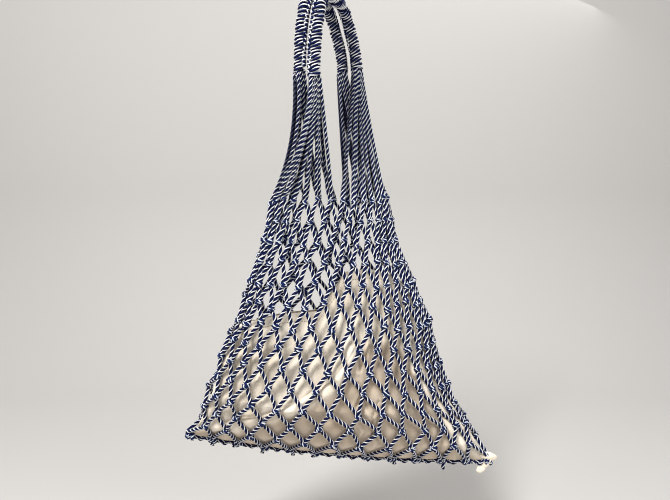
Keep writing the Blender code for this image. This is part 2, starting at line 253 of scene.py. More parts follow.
def makeObject(name, parts, finish, weld=0.0):
    shift = np.cumsum([0] + [len(part["points"]) for part in parts[:-1]])
    points = np.concatenate([part["points"] for part in parts])
    corners = np.concatenate([part["corners"] + s for part, s in zip(parts, shift)])
    sizes = np.concatenate([part["sizes"] for part in parts])
    uv = np.concatenate([part["uv"] for part in parts])
    mesh = bpy.data.meshes.new(name)
    mesh.vertices.add(len(points))
    mesh.vertices.foreach_set("co", points.astype(np.float32).ravel())
    mesh.loops.add(len(corners))
    mesh.loops.foreach_set("vertex_index", corners.astype(np.int32))
    mesh.polygons.add(len(sizes))
    starts = np.concatenate(([0], np.cumsum(sizes)[:-1])).astype(np.int32)
    mesh.polygons.foreach_set("loop_start", starts)
    mesh.update(calc_edges=True)
    layer = mesh.uv_layers.new(name="surface")
    layer.data.foreach_set("uv", uv.astype(np.float32).ravel())
    mesh.polygons.foreach_set("use_smooth", np.ones(len(sizes), bool))
    shade = np.concatenate([part["shade"] for part in parts])
    shaded = mesh.attributes.new("shaded", "FLOAT", "POINT")
    shaded.data.foreach_set("value", shade.astype(np.float32))
    if weld:
        shape = bmesh.new()
        shape.from_mesh(mesh)
        bmesh.ops.remove_doubles(shape, verts=shape.verts, dist=weld)
        bmesh.ops.recalc_face_normals(shape, faces=shape.faces)
        shape.to_mesh(mesh)
        shape.free()
    mesh.validate()
    mesh.update()
    made = bpy.data.objects.new(name, mesh)
    bpy.context.scene.collection.objects.link(made)
    mesh.materials.append(finish)
    faces = int(sum(len(p.vertices) - 2 for p in mesh.polygons))
    print(name, faces, "triangles")
    return made


# materials
def linear(colour):
    # an sRGB hex value as linear red, green, blue, alpha
    values = np.array([int(colour[i : i + 2], 16) for i in (1, 3, 5)]) / 255
    low, high = values / 12.92, ((values + 0.055) / 1.055) ** 2.4
    return (*np.where(values <= 0.04045, low, high), 1.0)


def addNode(tree, kind, settings=None, inputs=None):
    # one node, its own settings, and each input as a value or as another node's output
    node = tree.nodes.new(kind)
    for name, value in (settings or {}).items():
        setattr(node, name, value)
    for name, value in (inputs or {}).items():
        if isinstance(value, bpy.types.NodeSocket):
            tree.links.new(value, node.inputs[name])
        else:
            node.inputs[name].default_value = value
    return node


def addMath(tree, operation, *values):
    # one sum on numbers or other nodes' outputs
    made = addNode(tree, "ShaderNodeMath", {"operation": operation}, dict(enumerate(values)))
    return made.outputs[0]


def addBump(tree, look, height):
    values = {"Strength": look["bump"], "Distance": look["bumpDepth"], "Height": height}
    return addNode(tree, "ShaderNodeBump", inputs=values)


def setStops(node, stops):
    ramp = node.color_ramp
    while len(ramp.elements) > 1:
        ramp.elements.remove(ramp.elements[-1])
    ramp.elements[0].position = stops[0][0]
    ramp.elements[0].color = linear(stops[0][1])
    for position, colour in stops[1:]:
        ramp.elements.new(position).color = linear(colour)


def cottonShader(look):
    return {
        "Roughness": look["roughness"],
        "IOR": 1.5,
        "Sheen Weight": look["sheen"],
        "Sheen Roughness": look["sheenRoughness"],
        "Specular IOR Level": look["specular"],
    }


def newMaterial(name, shader):
    made = bpy.data.materials.new(name)
    made.use_nodes = True
    tree = made.node_tree
    principled = tree.nodes["Principled BSDF"]
    for socket, value in shader.items():
        principled.inputs[socket].default_value = value
    return made, tree, principled


# Laid cotton cord: two navy and two white strands twisted together. Dry and matt, soft fibres on top. Each
# strand's colour has painted shade towards the grooves between the strands and a painted highlight on its
# crest.
cordFinish = {
    "navy": "#080e33",
    "navyCrestHighlight": "#10205a",
    "navyGrooveShade": "#03050f",
    "white": "#f4f5f9",
    "whiteCrestHighlight": "#ffffff",
    "whiteGrooveShade": "#1d2749",
    "fibre": 0.35 * mm,  # a yarn's fibre bundles across
    "fibreLength": 5.0 * mm,
    "fade": 0.16,  # how much the fibres vary in tone
    "between": "#0a1236",  # painted shade colour on the sides of cords that lie packed together
    "shade": 0.90,  # how much of that colour is mixed in at most
    "bump": 0.35,
    "bumpDepth": 0.25 * mm,
    "roughness": 0.86,
    "sheen": 0.04,
    "sheenRoughness": 0.5,
    "specular": 0.12,
}


def cordMaterial(name, look):
    made, tree, principled = newMaterial(name, cottonShader(look))
    uv = addNode(tree, "ShaderNodeUVMap", {"uv_map": "surface"})
    split = addNode(tree, "ShaderNodeSeparateXYZ", inputs={"Vector": uv.outputs["UV"]})
    pairs = addMath(tree, "MULTIPLY", split.outputs["X"], rope["strands"] / 2)
    ramp = addNode(tree, "ShaderNodeValToRGB", inputs={"Fac": addMath(tree, "FRACT", pairs)})
    # round each strand: painted groove shade at its edges and a painted highlight on its crest
    setStops(
        ramp,
        (
            (0.0, look["navyGrooveShade"]),
            (0.10, look["navy"]),
            (0.26, look["navyCrestHighlight"]),
            (0.44, look["navy"]),
            (0.53, look["navyGrooveShade"]),
            (0.58, look["whiteGrooveShade"]),
            (0.66, look["white"]),
            (0.75, look["whiteCrestHighlight"]),
            (0.86, look["white"]),
            (0.94, look["whiteGrooveShade"]),
        ),
    )
    # fibres lie along the cord: the angle round it is the strand share plus length over lay
    laid = addMath(tree, "MULTIPLY_ADD", split.outputs["Y"], 1 / rope["lay"], split.outputs["X"])
    aroundCord = addMath(tree, "MULTIPLY", laid, math.pi * rope["width"] / look["fibre"])
    alongCord = addMath(tree, "MULTIPLY", split.outputs["Y"], 1 / look["fibreLength"])
    place = addNode(tree, "ShaderNodeCombineXYZ", inputs={"X": aroundCord, "Y": alongCord})
    fibres = addNode(
        tree,
        "ShaderNodeTexNoise",
        {"noise_dimensions": "2D"},
        {"Vector": place.outputs[0], "Scale": 1.0, "Detail": 3.0, "Roughness": 0.6},
    )
    tone = addNode(
        tree,
        "ShaderNodeMapRange",
        inputs={
            "Value": fibres.outputs["Fac"],
            "From Min": 0.3,
            "From Max": 0.7,
            "To Min": 1 - look["fade"],
            "To Max": 1 + look["fade"] / 3,
        },
    )
    # painted shade: the 'shaded' attribute mixes the strand colour towards the 'between' colour
    packed = addNode(tree, "ShaderNodeAttribute", {"attribute_name": "shaded"})
    shade = addMath(tree, "MULTIPLY", packed.outputs["Fac"], look["shade"])
    strandTone = addNode(
        tree,
        "ShaderNodeVectorMath",
        {"operation": "SCALE"},
        {0: ramp.outputs["Color"], "Scale": tone.outputs["Result"]},
    )
    toned = addNode(
        tree,
        "ShaderNodeMix",
        {"data_type": "RGBA"},
        {"Factor": shade, 6: strandTone.outputs[0], 7: linear(look["between"])},
    )
    bump = addBump(tree, look, fibres.outputs["Fac"])
    tree.links.new(toned.outputs[2], principled.inputs["Base Color"])
    tree.links.new(bump.outputs["Normal"], principled.inputs["Normal"])
    return made


laidCord = cordMaterial("laid cotton cord", cordFinish)
# knots: the same painted groove shade and crest highlight, in bluer and greyer tones
knotCord = cordMaterial(
    "laid cotton cord pulled tight",
    {**cordFinish, "navy": "#0a1740", "navyCrestHighlight": "#132a60", "white": "#c3cbdc", "whiteGrooveShade": "#172650"},
)
wrapCord = cordMaterial("laid cotton cord wound close", cordFinish)

# Plain-woven cotton, cream and unbleached: matt, in paler and darker, warmer patches at random, with
# painted shade multiplied in on its lower middle.
clothFinish = {
    "light": "#fdf1de",
    "dark": "#f1e2cb",
    "paintedShadeTint": "#d9d1ca",  # painted shade, multiplied into the colour below the painted-shade line
    "thread": 0.9 * mm,  # real threads are 0.4 mm apart, drawn coarser so that they show
    "cloud": 38 * mm,  # size of its paler and darker patches
    "stitchLine": 9.0 * mm,  # below the mouth
    "stitch": 3.2 * mm,  # from one to the next
    "stitchShare": 0.68,  # of that length is thread
    "stitchWidth": 0.55 * mm,  # half of it
    "stitchColour": "#b9a88f",
    "bump": 0.25,
    "bumpDepth": 0.18 * mm,
    "roughness": 0.92,
    "sheen": 0.3,
    "sheenRoughness": 0.6,
    "specular": 0.25,
}


def clothMaterial(name, look):
    made, tree, principled = newMaterial(name, cottonShader(look))
    uv = addNode(tree, "ShaderNodeUVMap", {"uv_map": "surface"})
    place = addNode(tree, "ShaderNodeTexCoord")
    clouds = addNode(
        tree,
        "ShaderNodeTexNoise",
        inputs={
            "Vector": place.outputs["Object"],
            "Scale": 1 / look["cloud"],
            "Detail": 4.0,
            "Roughness": 0.55,
        },
    )
    ramp = addNode(tree, "ShaderNodeValToRGB", inputs={"Fac": clouds.outputs["Fac"]})
    setStops(ramp, ((0.32, look["dark"]), (0.62, look["light"])))
    # painted shade: the 'shaded' attribute multiplies the grey tint into the cotton's colour
    paintedShadeMask = addNode(tree, "ShaderNodeAttribute", {"attribute_name": "shaded"})
    cotton = addNode(
        tree,
        "ShaderNodeMix",
        {"data_type": "RGBA", "blend_type": "MULTIPLY"},
        {"Factor": paintedShadeMask.outputs["Fac"], 6: ramp.outputs["Color"], 7: linear(look["paintedShadeTint"])},
    )
    threads = []
    for direction in ("X", "Y"):
        threads.append(
            addNode(
                tree,
                "ShaderNodeTexWave",
                {"wave_type": "BANDS", "bands_direction": direction},
                {
                    "Vector": uv.outputs["UV"],
                    "Scale": 1 / (math.pi * look["thread"]),
                    "Distortion": 0.6,
                    "Detail": 1.0,
                },
            )
        )
    weave = addMath(tree, "MAXIMUM", threads[0].outputs["Fac"], threads[1].outputs["Fac"])
    bump = addBump(tree, look, weave)
    # the hem's row of stitches: dashes at one distance below the mouth
    split = addNode(tree, "ShaderNodeSeparateXYZ", inputs={"Vector": uv.outputs["UV"]})
    off = addMath(tree, "SUBTRACT", split.outputs["Y"], look["stitchLine"])
    row = addMath(tree, "LESS_THAN", addMath(tree, "ABSOLUTE", off), look["stitchWidth"])
    beat = addMath(tree, "MULTIPLY", split.outputs["X"], 1 / look["stitch"])
    dash = addMath(tree, "LESS_THAN", addMath(tree, "FRACT", beat), look["stitchShare"])
    stitches = addMath(tree, "MULTIPLY", row, dash)
    colour = addNode(
        tree,
        "ShaderNodeMix",
        {"data_type": "RGBA"},
        {
            "Factor": stitches,
            6: cotton.outputs[2],
            7: linear(look["stitchColour"]),
        },
    )
    tree.links.new(colour.outputs[2], principled.inputs["Base Color"])
    tree.links.new(bump.outputs["Normal"], principled.inputs["Normal"])
    return made


creamCotton = clothMaterial("plain woven cotton", clothFinish)
print("materials made")


# handles: wound straps over an arch
straps = {
    "halfSpan": 49 * mm,  # from the arch's middle to a strap's middle line
    "top": 8.8 * mm,
    "bend": 30 * mm,  # radius of its two bends
    "lag": 1.3,  # how late it swings over from its front place to its back place
    "lineSteps": 400,
    "wrapRadius": 5.2 * mm,
    "wrapPitch": 5.3 * mm,
    "wrapTilt": 0.72,  # how far a turn leans along the strap, as a share of its radius
    "tiltFrom": 2.5,  # turns at each end in which the lean comes in
    "wrapUneven": ((0.04, 0.37), (0.03, 1.9)),  # shares of the radius, and waves a turn
    "wrapTight": 0.52,  # the wound cord is half untwisted
    "wrapWidth": 0.80,
    "stepsPerTurn": 24,
    "coreWidth": 8.4 * mm,
    "coreSteps": 160,
    "endSwell": 0.12,  # how much wider the last turn at each end is
    "ridgeRadius": 6.8 * mm,
    "ridgeBeat": 0.8 * mm,  # how far each locked loop rises and falls
    "ridgeFree": (0.6, 0.1),  # turns without loops at its two ends
    "ridgeSteps": 9,  # a turn
    "ridgeSway": 0.26,  # how far the locked loops swing round the strap, radians
    "ridgeWidth": 0.78,
    "ridgeTight": 0.8,
    "names": ("frontX", "frontZ", "backX", "backZ", "shiftY", "ridgeAngle"),
    "rows": {
        "handle_front": (-21.5, -91, 32.5, -71, -4.5, math.pi + 0.35),
        "handle_back": (-40.0, -86, 12.5, -74, 5.0, -0.55),
    },
}


def strapLine(name):
    # straight up the front, a quarter circle, level, a quarter circle and straight down
    row = dict(zip(straps["names"], straps["rows"][name]))
    bendZ, bendY = straps["top"] - straps["bend"], straps["halfSpan"] - straps["bend"]
    quarter = straps["bend"] * np.pi / 2
    lengths = (bendZ - row["frontZ"] * mm, quarter, 2 * bendY, quarter, bendZ - row["backZ"] * mm)
    marks = np.concatenate(([0], np.cumsum(lengths)))
    along = np.linspace(0, marks[-1], straps["lineSteps"])
    leg = np.clip(np.searchsorted(marks, along, side="right") - 1, 0, 4)
    rest = along - marks[leg]
    angle = rest / straps["bend"]
    y = np.choose(
        leg,
        (
            -straps["halfSpan"] + 0 * rest,
            -bendY - straps["bend"] * np.cos(angle),
            -bendY + rest,
            bendY + straps["bend"] * np.sin(angle),
            straps["halfSpan"] + 0 * rest,
        ),
    )
    z = np.choose(
        leg,
        (
            row["frontZ"] * mm + rest,
            bendZ + straps["bend"] * np.sin(angle),
            straps["top"] + 0 * rest,
            bendZ + straps["bend"] * np.cos(angle),
            bendZ - rest,
        ),
    )
    share = (along / marks[-1]) ** straps["lag"]
    x = (row["frontX"] + (row["backX"] - row["frontX"]) * share * share * (3 - 2 * share)) * mm
    return along, np.stack((x, y + row["shiftY"] * mm, z), axis=1), row


def strapFrame(name, at):
    # the strap's centre, its direction and two directions square to it, at any length
    along, line, row = strapLine(name)
    tangents = unit(np.gradient(line, axis=0))
    pick = lambda values: np.stack([np.interp(at, along, values[:, i]) for i in range(3)], axis=1)
    centre, tangent = pick(line), unit(pick(tangents))
    side = unit(np.array((1.0, 0.0, 0.0)) - tangent * tangent[:, :1])
    return centre, tangent, side, np.cross(tangent, side), row, along[-1]


def buildHandle(name, pieceName):
    # one cord wound round and round, and a chain of locked loops along one side
    total = strapLine(name)[0][-1]
    turns = total / straps["wrapPitch"] - 1
    angle = np.linspace(0, 2 * np.pi * turns, round(turns * straps["stepsPerTurn"]))
    at = straps["wrapPitch"] * (0.5 + angle / (2 * np.pi))
    centre, tangent, side, other, row, _ = strapFrame(name, at)
    ends = np.minimum(at, total - at)
    tilt = straps["wrapTilt"] * np.clip(ends / (straps["tiltFrom"] * straps["wrapPitch"]), 0, 1)
    tilt = tilt * np.cos(np.pi * at / total)
    swing = angle + row["ridgeAngle"]
    uneven = sum(share * np.sin(angle * waves) for share, waves in straps["wrapUneven"])
    swell = 1 + straps["endSwell"] * np.exp(-ends / straps["wrapPitch"])
    radius = straps["wrapRadius"] * (1 + uneven) * swell
    out = side * np.cos(swing)[:, None] + other * np.sin(swing)[:, None]
    lean = np.cos(swing)
    wound = centre + out * radius[:, None] + tangent * (tilt * radius * lean)[:, None]
    tight = straps["wrapTight"]
    parts = [sweep(wound, out, rope["width"] * straps["wrapWidth"], laidProfile(), tight=tight)]
    middle = np.linspace(0.5 * straps["wrapPitch"], total - 0.5 * straps["wrapPitch"], straps["coreSteps"])
    centre, _, side, _, _, _ = strapFrame(name, middle)
    parts.append(sweep(centre, side, straps["coreWidth"], laidProfile(), start=0.002))
    first, last = straps["ridgeFree"]
    beats = np.linspace(first, turns - last, round(turns * straps["ridgeSteps"]))
    at = straps["wrapPitch"] * (0.5 + beats)
    centre, tangent, side, other, row, _ = strapFrame(name, at)
    sway = straps["ridgeSway"] * np.sin(2 * np.pi * beats) + row["ridgeAngle"]
    radius = straps["ridgeRadius"] + straps["ridgeBeat"] * np.cos(4 * np.pi * beats)
    out = side * np.cos(sway)[:, None] + other * np.sin(sway)[:, None]
    width = rope["width"] * straps["ridgeWidth"]
    push = straps["wrapTilt"] * straps["wrapRadius"] * np.cos(row["ridgeAngle"])
    ridge = centre + out * radius[:, None] + tangent * push * np.cos(np.pi * at / total)[:, None]
    tight = straps["ridgeTight"]
    parts.append(sweep(ridge, out, width, laidProfile(), start=0.004, tight=tight))
    made = makeObject(pieceName, parts, wrapCord)
    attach(made, "root")
    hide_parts(name)


buildHandle("handle_front", "frontHandleWrap")
buildHandle("handle_back", "backHandleWrap")
print("handles wound")


# net: forty-eight cords from the handles down to the seam
fans = {
    "ends": (
        ("handle_front", "front"),
        ("handle_front", "back"),
        ("handle_back", "back"),
        ("handle_back", "front"),
    ),
    "spacing": 3.9 * mm,  # unit of the cords' places where a handle's end packs them
    "packedSpan": 2.9,  # from the first cord to the last, in that unit
    "places": 7,  # steps between them, so neighbours overlap: packed rope, drawn round
    "packedDrop": 0.3 * mm,
    "gather": 0.45,  # how far apart they still are inside the winding
    "footInset": 0.2,  # of a column, at both ends of a fan's foot
    "footPair": (0.36, 0.64),  # where the two cords of a column stand there
    "layers": (0.45, -0.85, 0.45),  # of three cords the middle one runs behind the others
    # how long the cords stay drawn together, at each quarter's first and last cord
    "drawIn": ((1.9, 1.05), (1.1, 1.2), (1.15, 1.15), (1.3, 2.4)),
    "tight": 1.28,  # the straight cords are laid tighter than those in the net
    "levels": (0.93, 0.8, 0.65, 0.5, 0.36, 0.22, 0.1),
    "inside": 7 * mm,  # how far the cords run up into the winding
    "stray": 1.1 * mm,
    "swayPower": 0.7,
    "layerUneven": 0.3,
    "layerSway": 2.4 * mm,
    "gripFades": 26 * mm,  # length over which a cord widens below the winding
    # over this length the painted shade fades out above a fan's foot, and a cord widens below it
    "footFades": 60 * mm,
    "shadeFades": 8 * mm,  # the painted shade starts this far down a cord and is full at twice that
    "tightDepth": 0.25,  # metres below the hang point, where the tighter lay has eased
    "squeezed": 0.72,  # the cords' width where the winding grips them
    "drawn": 0.82,  # and where they hang straight
    "behind": 0.72,  # how strong the painted shade is on a cord in the back layer
}
rows, columns = netShape["rows"], netShape["columns"]
rowGrid, columnGrid = np.meshgrid(np.arange(rows + 1), np.arange(columns), indexing="ij")
knotColumn = columnGrid + 0.5 * ((rowGrid + 1) % 2)
knotAt = netPoint(knotColumn, rowGrid)
knotAround, knotUp, knotOut = netFrame(knotColumn.astype(float), rowGrid.astype(float))
knotOut[rows] = knotOut[rows - 1]
calm = np.clip(rowGrid / netShape["calmRows"], netShape["calmLeast"], 1)
upward = np.where(rowGrid < netShape["upRows"], *netShape["upStray"])
loose = np.stack((calm, upward)) * (rowGrid < rows)
limit = netShape["strayLimit"]
stray = rng.normal(0, 1, (2, rows + 1, columns)).clip(-limit, limit) * netShape["uneven"] * loose
knotAt = knotAt + knotAround * stray[0][..., None] + knotUp * stray[1][..., None]


def cordLine(k, goesRight):
    # handle end, fan, then knot to knot down the net, turning back at each knot
    quarter = k // (columns // 4)
    name, end = fans["ends"][quarter]
    row = dict(zip(straps["names"], straps["rows"][name]))
    head = np.array((row[end + "X"], 0.0, row[end + "Z"])) * mm
    head[1] = (-1 if end == "front" else 1) * straps["halfSpan"] + row["shiftY"] * mm
    first = quarter * columns // 4
    number = 2 * (k - first) + (1 if goesRight else 0)
    inset = fans["footInset"]
    feet = netPoint(np.array((first + inset, first + columns / 4 - inset)), 0.0)
    run = unit((feet[1] - feet[0]) * (1, 1, 0))
    out = np.cross(run, (0.0, 0.0, 1.0))
    middle = netPoint(np.array((0.0, columns / 2)), 1.0).mean(axis=0)
    out = out if out @ (feet.mean(axis=0) - middle) > 0 else -out
    group, member = divmod(number, 3)
    layer = fans["layers"][member] * (1 + fans["layerUneven"] * (k % 2))
    place = ((2 * group + member / 2) / fans["places"] - 0.5) * fans["packedSpan"]
    packed = head + (run * place + out * layer) * fans["spacing"]
    packed[2] -= fans["packedDrop"]
    foot = netPoint(k + fans["footPair"][int(goesRight)], 0.0)
    levels = np.array(fans["levels"])[:, None]
    drawIn = np.interp(number / (columns / 2 - 1), (0, 1), fans["drawIn"][quarter])
    line = foot + (packed - foot) * (1 - (1 - levels) ** drawIn)
    line[:, 2:] = foot[2] + (packed[2] - foot[2]) * levels
    sway = np.sin(np.pi * levels) ** fans["swayPower"]
    line += sway * (run * rng.normal(0, 0.6) + out * rng.normal(0, 1)) * fans["stray"]
    line += out * layer * fans["layerSway"] * sway
    top = np.array((head + (packed - head) * fans["gather"], packed))
    top[0, 2] = head[2] + fans["inside"]
    points, outs = [top, line], [np.repeat(out[None], len(levels) + 2, axis=0)]
    shift = rope["width"] * netShape["pairOffset"]
    for r in range(rows + 1):
        odd = r % 2
        at = (k + (odd if goesRight else 0)) % columns
        side = (1 if goesRight else -1) * (-1 if odd else 1)
        middle = knotAt[r, at] + knotAround[r, at] * side * shift
        half = knotUp[r, at] * netShape["knotHalf"]
        last = [middle + half * netShape["lastKnot"]]
        pair = [middle + half, middle - half] if r < rows else last
        points.append(np.array(pair))
        outs.append(np.repeat(knotOut[r, at][None], len(pair), axis=0))
        if r < rows:
            below = (r + 1) % 2
            nextColumn = (k + (below if goesRight else 0)) % columns
            nextHalf = knotUp[r + 1, nextColumn] * netShape["knotHalf"]
            centre = (middle - half + knotAt[r + 1, nextColumn] + nextHalf) / 2
            slack = rng.normal(0, netShape["sideSlack"]) * knotAround[r, at]
            slack = slack + rng.normal(*netShape["outSlack"]) * knotOut[r, at]
            points.append((centre + slack * netShape["slack"])[None])
            outs.append(knotOut[r, at][None])
    return np.concatenate(points), np.concatenate(outs)


def layCord(k, goesRight):
    points, outs = cordLine(k, goesRight)
    path = smoothPath(points, rope["lay"] / rope["stepsPerLay"])
    length = np.concatenate(([0], np.cumsum(np.linalg.norm(np.diff(points, axis=0), axis=1))))
    at = np.linspace(0, length[-1], len(path))
    outward = np.stack([np.interp(at, length, outs[:, i]) for i in range(3)], axis=1)
    gripped = np.clip((at - fans["inside"]) / fans["gripFades"], 0, 1)
    footAt = length[len(fans["levels"]) + 2]
    slackened = np.clip((at - footAt) / fans["footFades"], 0, 1)
    drawn = fans["drawn"] + (1 - fans["drawn"]) * slackened
    width = rope["width"] * (fans["squeezed"] + (drawn - fans["squeezed"]) * gripped)
    # painted shade along each fan cord, in below the winding and out above the fan's foot; front-layer
    # cords get it everywhere but their outward face, back-layer cords everywhere but their inward face
    amount = np.clip(at / fans["shadeFades"] - 1, 0, 1)
    amount = amount * np.clip((footAt - at) / fans["footFades"], 0, 1)
    layer = fans["layers"][(2 * (k % (columns // 4)) + goesRight) % 3]
    packed = (1, amount) if layer > 0 else (-1, amount * fans["behind"])
    start = rng.uniform(0, rope["lay"])
    inNet = np.clip((points[0, 2] - path[:, 2]) / (points[0, 2] + fans["tightDepth"]), 0, 1) ** 2
    tight = fans["tight"] + (1 - fans["tight"]) * inNet
    return sweep(path, outward, width, laidProfile(), start=start, tight=tight, packed=packed)


netPieces = ("netFrontLeft", "netFrontRight", "netBackRight", "netBackLeft")
for quarter, pieceName in enumerate(netPieces):
    first = quarter * columns // 4
    chosen = [(k, right) for k in range(first, first + columns // 4) for right in (False, True)]
    made = makeObject(pieceName, [layCord(k, right) for k, right in chosen], laidCord)
    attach(made, "root")
    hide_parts("net")
print("net cords laid")

knots = {
    "reach": 0.60,  # of the winding's middle line, as a share of the cord's width
    "rise": 0.40,
    "cord": 0.84,
    "segments": 16,
    "tight": 1.5,  # the strands of a knot are twisted closer
    "lean": 0.42,
    "phases": (0.3, 1.2, 2.0),  # where round the pair its two turns cross
    "phaseStray": 0.2,
    "topSize": 0.68,  # knots are smaller in the drawn top rows
    "rowGrowth": 0.06,
    "sizeStray": 0.06,
}


def windKnot(centre, around, up, out, size, phase, start):
    # two turns round the pair of cords, which cross once: the rise turns at half the speed
    angle = np.linspace(0, 4 * np.pi, knots["segments"], endpoint=False)
    reach = knots["reach"] * rope["width"] * size
    rise = knots["rise"] * rope["width"] * size * np.cos(angle / 2 + phase)
    flat = np.cos(angle)[:, None] * around + np.sin(angle)[:, None] * out
    path = centre + flat * reach + up * rise[:, None]
    outward = unit(flat + 0.01 * up)
    width = rope["width"] * knots["cord"] * size ** 0.5
    sides = plainProfile(rope["plainSides"])
    return sweep(path, outward, width, sides, closed=True, start=start, tight=knots["tight"])


knotParts = []
for r in range(rows):
    for k in range(columns):
        lean = rng.normal(0, knots["lean"])
        around = unit(knotAround[r, k] + lean * knotUp[r, k])
        up = unit(knotUp[r, k] - lean * knotAround[r, k])
        phase = rng.choice(knots["phases"]) + rng.normal(0, knots["phaseStray"])
        size = min(1, knots["topSize"] + knots["rowGrowth"] * r) + rng.normal(0, knots["sizeStray"])
        start = rng.uniform(0, rope["lay"])
        knotParts.append(windKnot(knotAt[r, k], around, up, knotOut[r, k], size, phase, start))
made = makeObject("netKnots", knotParts, knotCord)
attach(made, "root")
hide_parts("net")
print("knots wound")


# seam: two cords laced along the bottom, a knot at each mesh, short tails
seam = {
    "drop": 5.0 * mm,  # below the bottom row
    "end": 0.01,  # share of its length left free at both ends
    "samples": 700,
    "sag": 0.8 * mm,  # between two meshes
    # reach off the middle in millimetres, turns a mesh, and width as a share of the cord's
    "cords": ((0.8, 1.0, 0.90), (2.6, -2.0, 0.72)),
    "knotSize": 1.2,
    "knotStray": 0.08,
    "knotLean": 0.3,
    "knotRise": 1.2 * mm,
    "knotSpacing": 4.4 * mm,  # between the two windings of a knot
    "knotTurns": ((-0.5, 0.4), (0.5, 1.9)),  # place along the seam and phase of each
    "directionStep": 0.008,
    "tailNames": ("share", "length", "lean", "toFront"),
    "tails": (
        (0.09, 6, -0.5, 0.3),
        (0.145, 5, 0.4, -0.1),
        (0.255, 7, -0.6, 0.3),
        (0.335, 6, 0.5, 0.1),
        (0.42, 5, -0.7, 0.2),
        (0.67, 6, 0.5, 0.2),
        (0.845, 9, -0.2, 0.3),
    ),
    "tailWidth": 0.9,
    "tailSteps": 9,
    "tailBow": 2 * mm,
    "flare": 1.25,  # how much wider a tail's cut end is
    "flareFrom": 0.7,
}


def seamPoint(share):
    # halfway between the front and the back of the bottom row, under the fold
    share = np.asarray(share, float)
    front = netPoint(share * columns / 2, float(rows))
    back = netPoint(columns - share * columns / 2 - 1e-6, float(rows))
    return (front + back) / 2 - np.array((0, 0, seam["drop"]))


seamParts, seamKnots = [], []
shares = np.linspace(seam["end"], 1 - seam["end"], seam["samples"])
line = seamPoint(shares)
run = unit(np.gradient(line, axis=0))
forward = np.array((0.0, -1.0, 0.0))
lift = unit(np.cross(run, forward[None]))
mesh = shares * columns / 2  # counts the meshes along the seam
sag = np.array((0, 0, -1.0)) * (seam["sag"] * np.sin(np.pi * mesh) ** 2)[:, None]
step = rope["lay"] / rope["stepsPerLay"]
for number, (reach, turns, width) in enumerate(seam["cords"]):
    angle = 2 * np.pi * turns * mesh + 0.5 * np.sin(mesh * 2.3 + number) + number
    reaches = reach * mm * (1 + 0.2 * np.sin(mesh * 3.7 + 2 * number))
    out = forward * np.cos(angle)[:, None] + lift * np.sin(angle)[:, None]
    path = smoothPath((line + sag + out * reaches[:, None])[::4], step)
    seamParts.append(sweep(path, forward, rope["width"] * width, laidProfile(), start=0.003 * number))
for k in range(columns // 2 + 1):
    share = min(max(k / (columns / 2), seam["end"]), 1 - seam["end"])
    step = seam["directionStep"]
    direction = unit(seamPoint(share + step) - seamPoint(share - step))
    up = np.cross(forward, direction)
    axis = unit(direction + rng.normal(0, seam["knotLean"]) * up)
    centre = seamPoint(share) + (0, 0, seam["knotRise"])
    around = unit(np.cross(forward, axis))
    for turn, phase in seam["knotTurns"]:
        place = centre + axis * turn * seam["knotSpacing"]
        size = seam["knotSize"] + rng.normal(0, seam["knotStray"])
        phase += rng.normal(0, knots["phaseStray"])
        start = rng.uniform(0, rope["lay"])
        seamKnots.append(windKnot(place, around, axis, forward, size, phase, start))
for row in seam["tails"]:
    tail = dict(zip(seam["tailNames"], row))
    root = seamPoint(tail["share"])
    down = unit(np.array((tail["lean"], -tail["toFront"], -1.0)))
    reach = tail["length"] * mm + rope["width"] / 2
    at = np.linspace(0, 1, seam["tailSteps"])[:, None]
    bow = np.array((tail["lean"], 0, 0)) * seam["tailBow"]
    path = root + down * at * reach + bow * np.sin(np.pi * at)
    flare = np.interp(at[:, 0], (0, seam["flareFrom"], 1), (1, 1, seam["flare"]))
    width = rope["width"] * seam["tailWidth"] * flare
    seamParts.append(sweep(path, forward, width, laidProfile(), start=0.002))
for pieceName, parts, finish in (
    ("seamLacing", seamParts, laidCord),
    ("seamKnots", seamKnots, knotCord),
):
    made = makeObject(pieceName, parts, finish)
    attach(made, "root")
    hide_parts("seam_cord")
print("seam laced")


